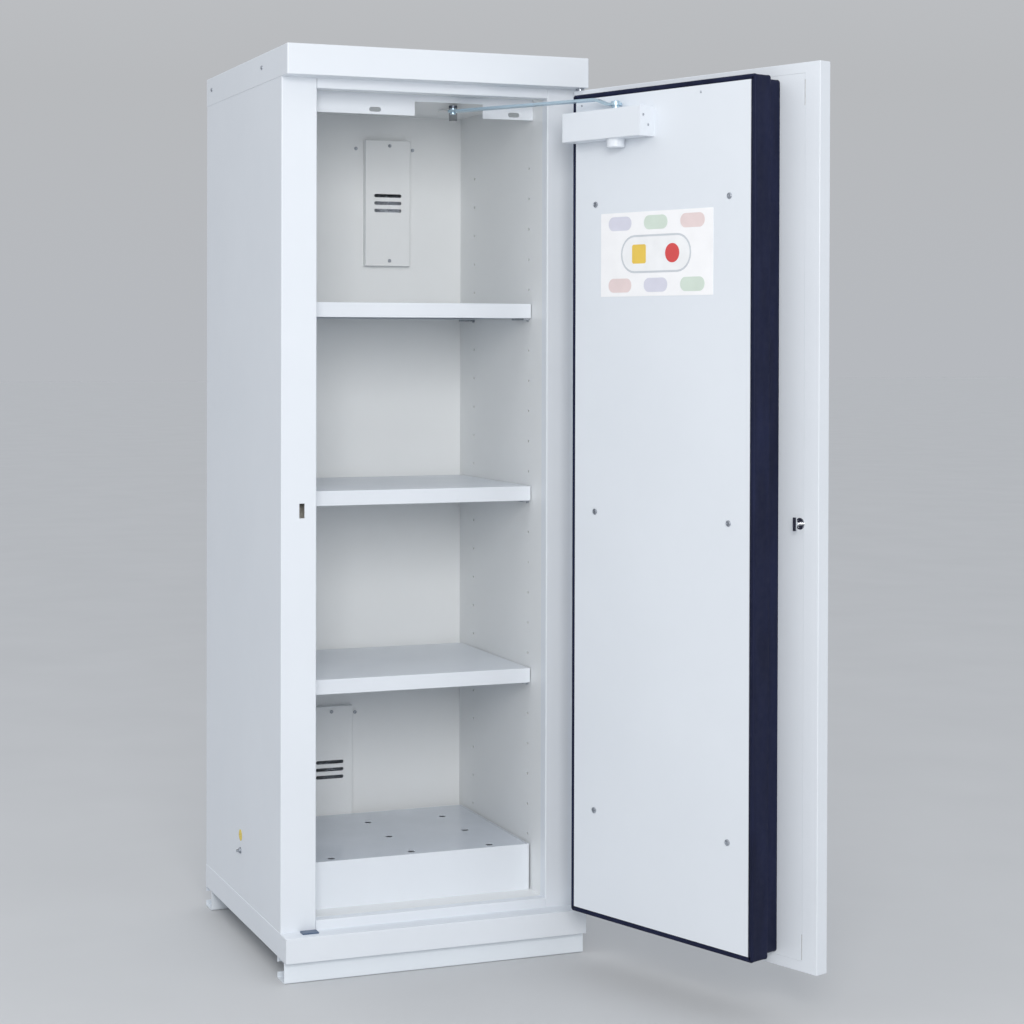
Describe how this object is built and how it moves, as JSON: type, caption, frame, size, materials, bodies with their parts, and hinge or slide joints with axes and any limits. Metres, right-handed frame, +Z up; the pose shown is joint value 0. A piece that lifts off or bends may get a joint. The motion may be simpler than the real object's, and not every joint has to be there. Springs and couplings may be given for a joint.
{
  "type": "flammable storage cabinet",
  "caption": "Tall fire-resistant storage cabinet with one insulated hinged door, lift-out shelves, a perforated sump tray, a jointed door closer and two vent spigots.",
  "frame": {"origin": "centre of the footprint, on the floor", "axes": "+Z up, -Y out of the front opening, +X towards the hinge side"},
  "size_m": [0.9186, 1.2409, 1.93],
  "materials": {
    "white_paint": "satin",
    "liner_paint": "satin",
    "plinth_paint": "satin",
    "fire_board": "matte",
    "navy_seal": "matte",
    "zinc_steel": "satin",
    "arm_steel": "satin",
    "aluminium": "satin",
    "chrome": "polished",
    "handle_grey": "satin",
    "label_white": "satin",
    "sticker_yellow": "gloss",
    "glide_blue": "satin"
  },
  "bodies": {
    "cabinet": {"arm_shoe": "liner_paint", "back_panel": "white_paint", "base_pan": "white_paint", "cabinet_screws": "zinc_steel", "earth_sticker": "sticker_yellow", "earth_terminal": "zinc_steel", "exhaust_cover": "liner_paint", "exhaust_spigot": "zinc_steel", "glide_pad": "glide_blue", "head_rail": "white_paint", "hinge_bushes": "zinc_steel", "insulation_back": "fire_board", "insulation_bottom": "fire_board", "insulation_left": "fire_board", "insulation_right": "fire_board", "insulation_top": "fire_board", "intake_cover": "liner_paint", "intake_spigot": "zinc_steel", "liner_back": "liner_paint", "liner_bottom": "liner_paint", "liner_left": "liner_paint", "liner_right": "liner_paint", "liner_top": "liner_paint", "plinth_front": "plinth_paint", "plinth_rear": "plinth_paint", "plinth_tie": "plinth_paint", "shelf_supports": "zinc_steel", "side_panel_left": "white_paint", "side_panel_right": "white_paint", "sill_rail": "white_paint", "sump_tray": "white_paint", "top_cap": "white_paint", "valance": "white_paint", "vent_ducts": "zinc_steel"},
    "door": {"door_skin": "white_paint", "door_board": "fire_board", "door_inner_sheet": "white_paint", "door_block_base": "navy_seal", "door_seal": "navy_seal", "door_core": "fire_board", "inner_panel": "white_paint", "door_screws": "zinc_steel", "label_plate": "label_white", "hinge_blocks": "zinc_steel", "pivot_pins": "zinc_steel", "pull_handle": "handle_grey", "lock_housing": "chrome", "closer_body": "white_paint", "closer_end_caps": "white_paint", "spindle_cap": "white_paint"},
    "lock": {"lock_plug": "chrome"},
    "main_arm": {"main_arm": "arm_steel", "closer_spindle": "arm_steel"},
    "forearm": {"forearm": "zinc_steel"},
    "shelf_upper": {"shelf_upper": "white_paint"},
    "shelf_middle": {"shelf_middle": "white_paint"},
    "shelf_lower": {"shelf_lower": "white_paint"},
    "sump_insert": {"sump_insert": "white_paint"},
    "intake_damper": {"intake_damper": "aluminium"},
    "exhaust_damper": {"exhaust_damper": "aluminium"}
  },
  "joints": [
    {"name": "door_swing", "type": "hinge", "parent": "cabinet", "child": "door", "pos_m": [0.321, -0.3, 0.96], "axis": [0, 0, 1], "range_deg": [-110, 10]},
    {"name": "main_arm_turn", "type": "hinge", "parent": "door", "child": "main_arm", "pos_m": [0.29023, -0.54, 1.77], "axis": [0, 0, 1], "range_deg": [-10, 100]},
    {"name": "forearm_turn", "type": "hinge", "parent": "cabinet", "child": "forearm", "pos_m": [0.1643, 0.0411, 1.79], "axis": [0, 0, 1], "range_deg": [-106, 10.5]},
    {"name": "lock_turn", "type": "hinge", "parent": "door", "child": "lock", "pos_m": [0.51981, -0.87253, 0.95], "axis": [-0.9397, -0.342, 0], "range_deg": [0, 90]},
    {"name": "intake_damper_turn", "type": "hinge", "parent": "cabinet", "child": "intake_damper", "pos_m": [-0.07, 0.275, 1.85], "axis": [1, 0, 0], "range_deg": [0, 90]},
    {"name": "exhaust_damper_turn", "type": "hinge", "parent": "cabinet", "child": "exhaust_damper", "pos_m": [0.068, 0.275, 1.85], "axis": [1, 0, 0], "range_deg": [0, 90]},
    {"name": "shelf_upper_lift", "type": "slide", "parent": "cabinet", "child": "shelf_upper", "axis": [0, 0, 1], "range_m": [0, 0.05]},
    {"name": "shelf_middle_lift", "type": "slide", "parent": "cabinet", "child": "shelf_middle", "axis": [0, 0, 1], "range_m": [0, 0.05]},
    {"name": "shelf_lower_lift", "type": "slide", "parent": "cabinet", "child": "shelf_lower", "axis": [0, 0, 1], "range_m": [0, 0.05]},
    {"name": "sump_insert_lift", "type": "slide", "parent": "cabinet", "child": "sump_insert", "axis": [0, 0, 1], "range_m": [0, 0.05]}
  ],
  "couplings": [
    {"joint": "main_arm_turn", "follows": "door_swing", "ratio": -0.89892},
    {"joint": "forearm_turn", "follows": "door_swing", "ratio": 0.95593}
  ]
}
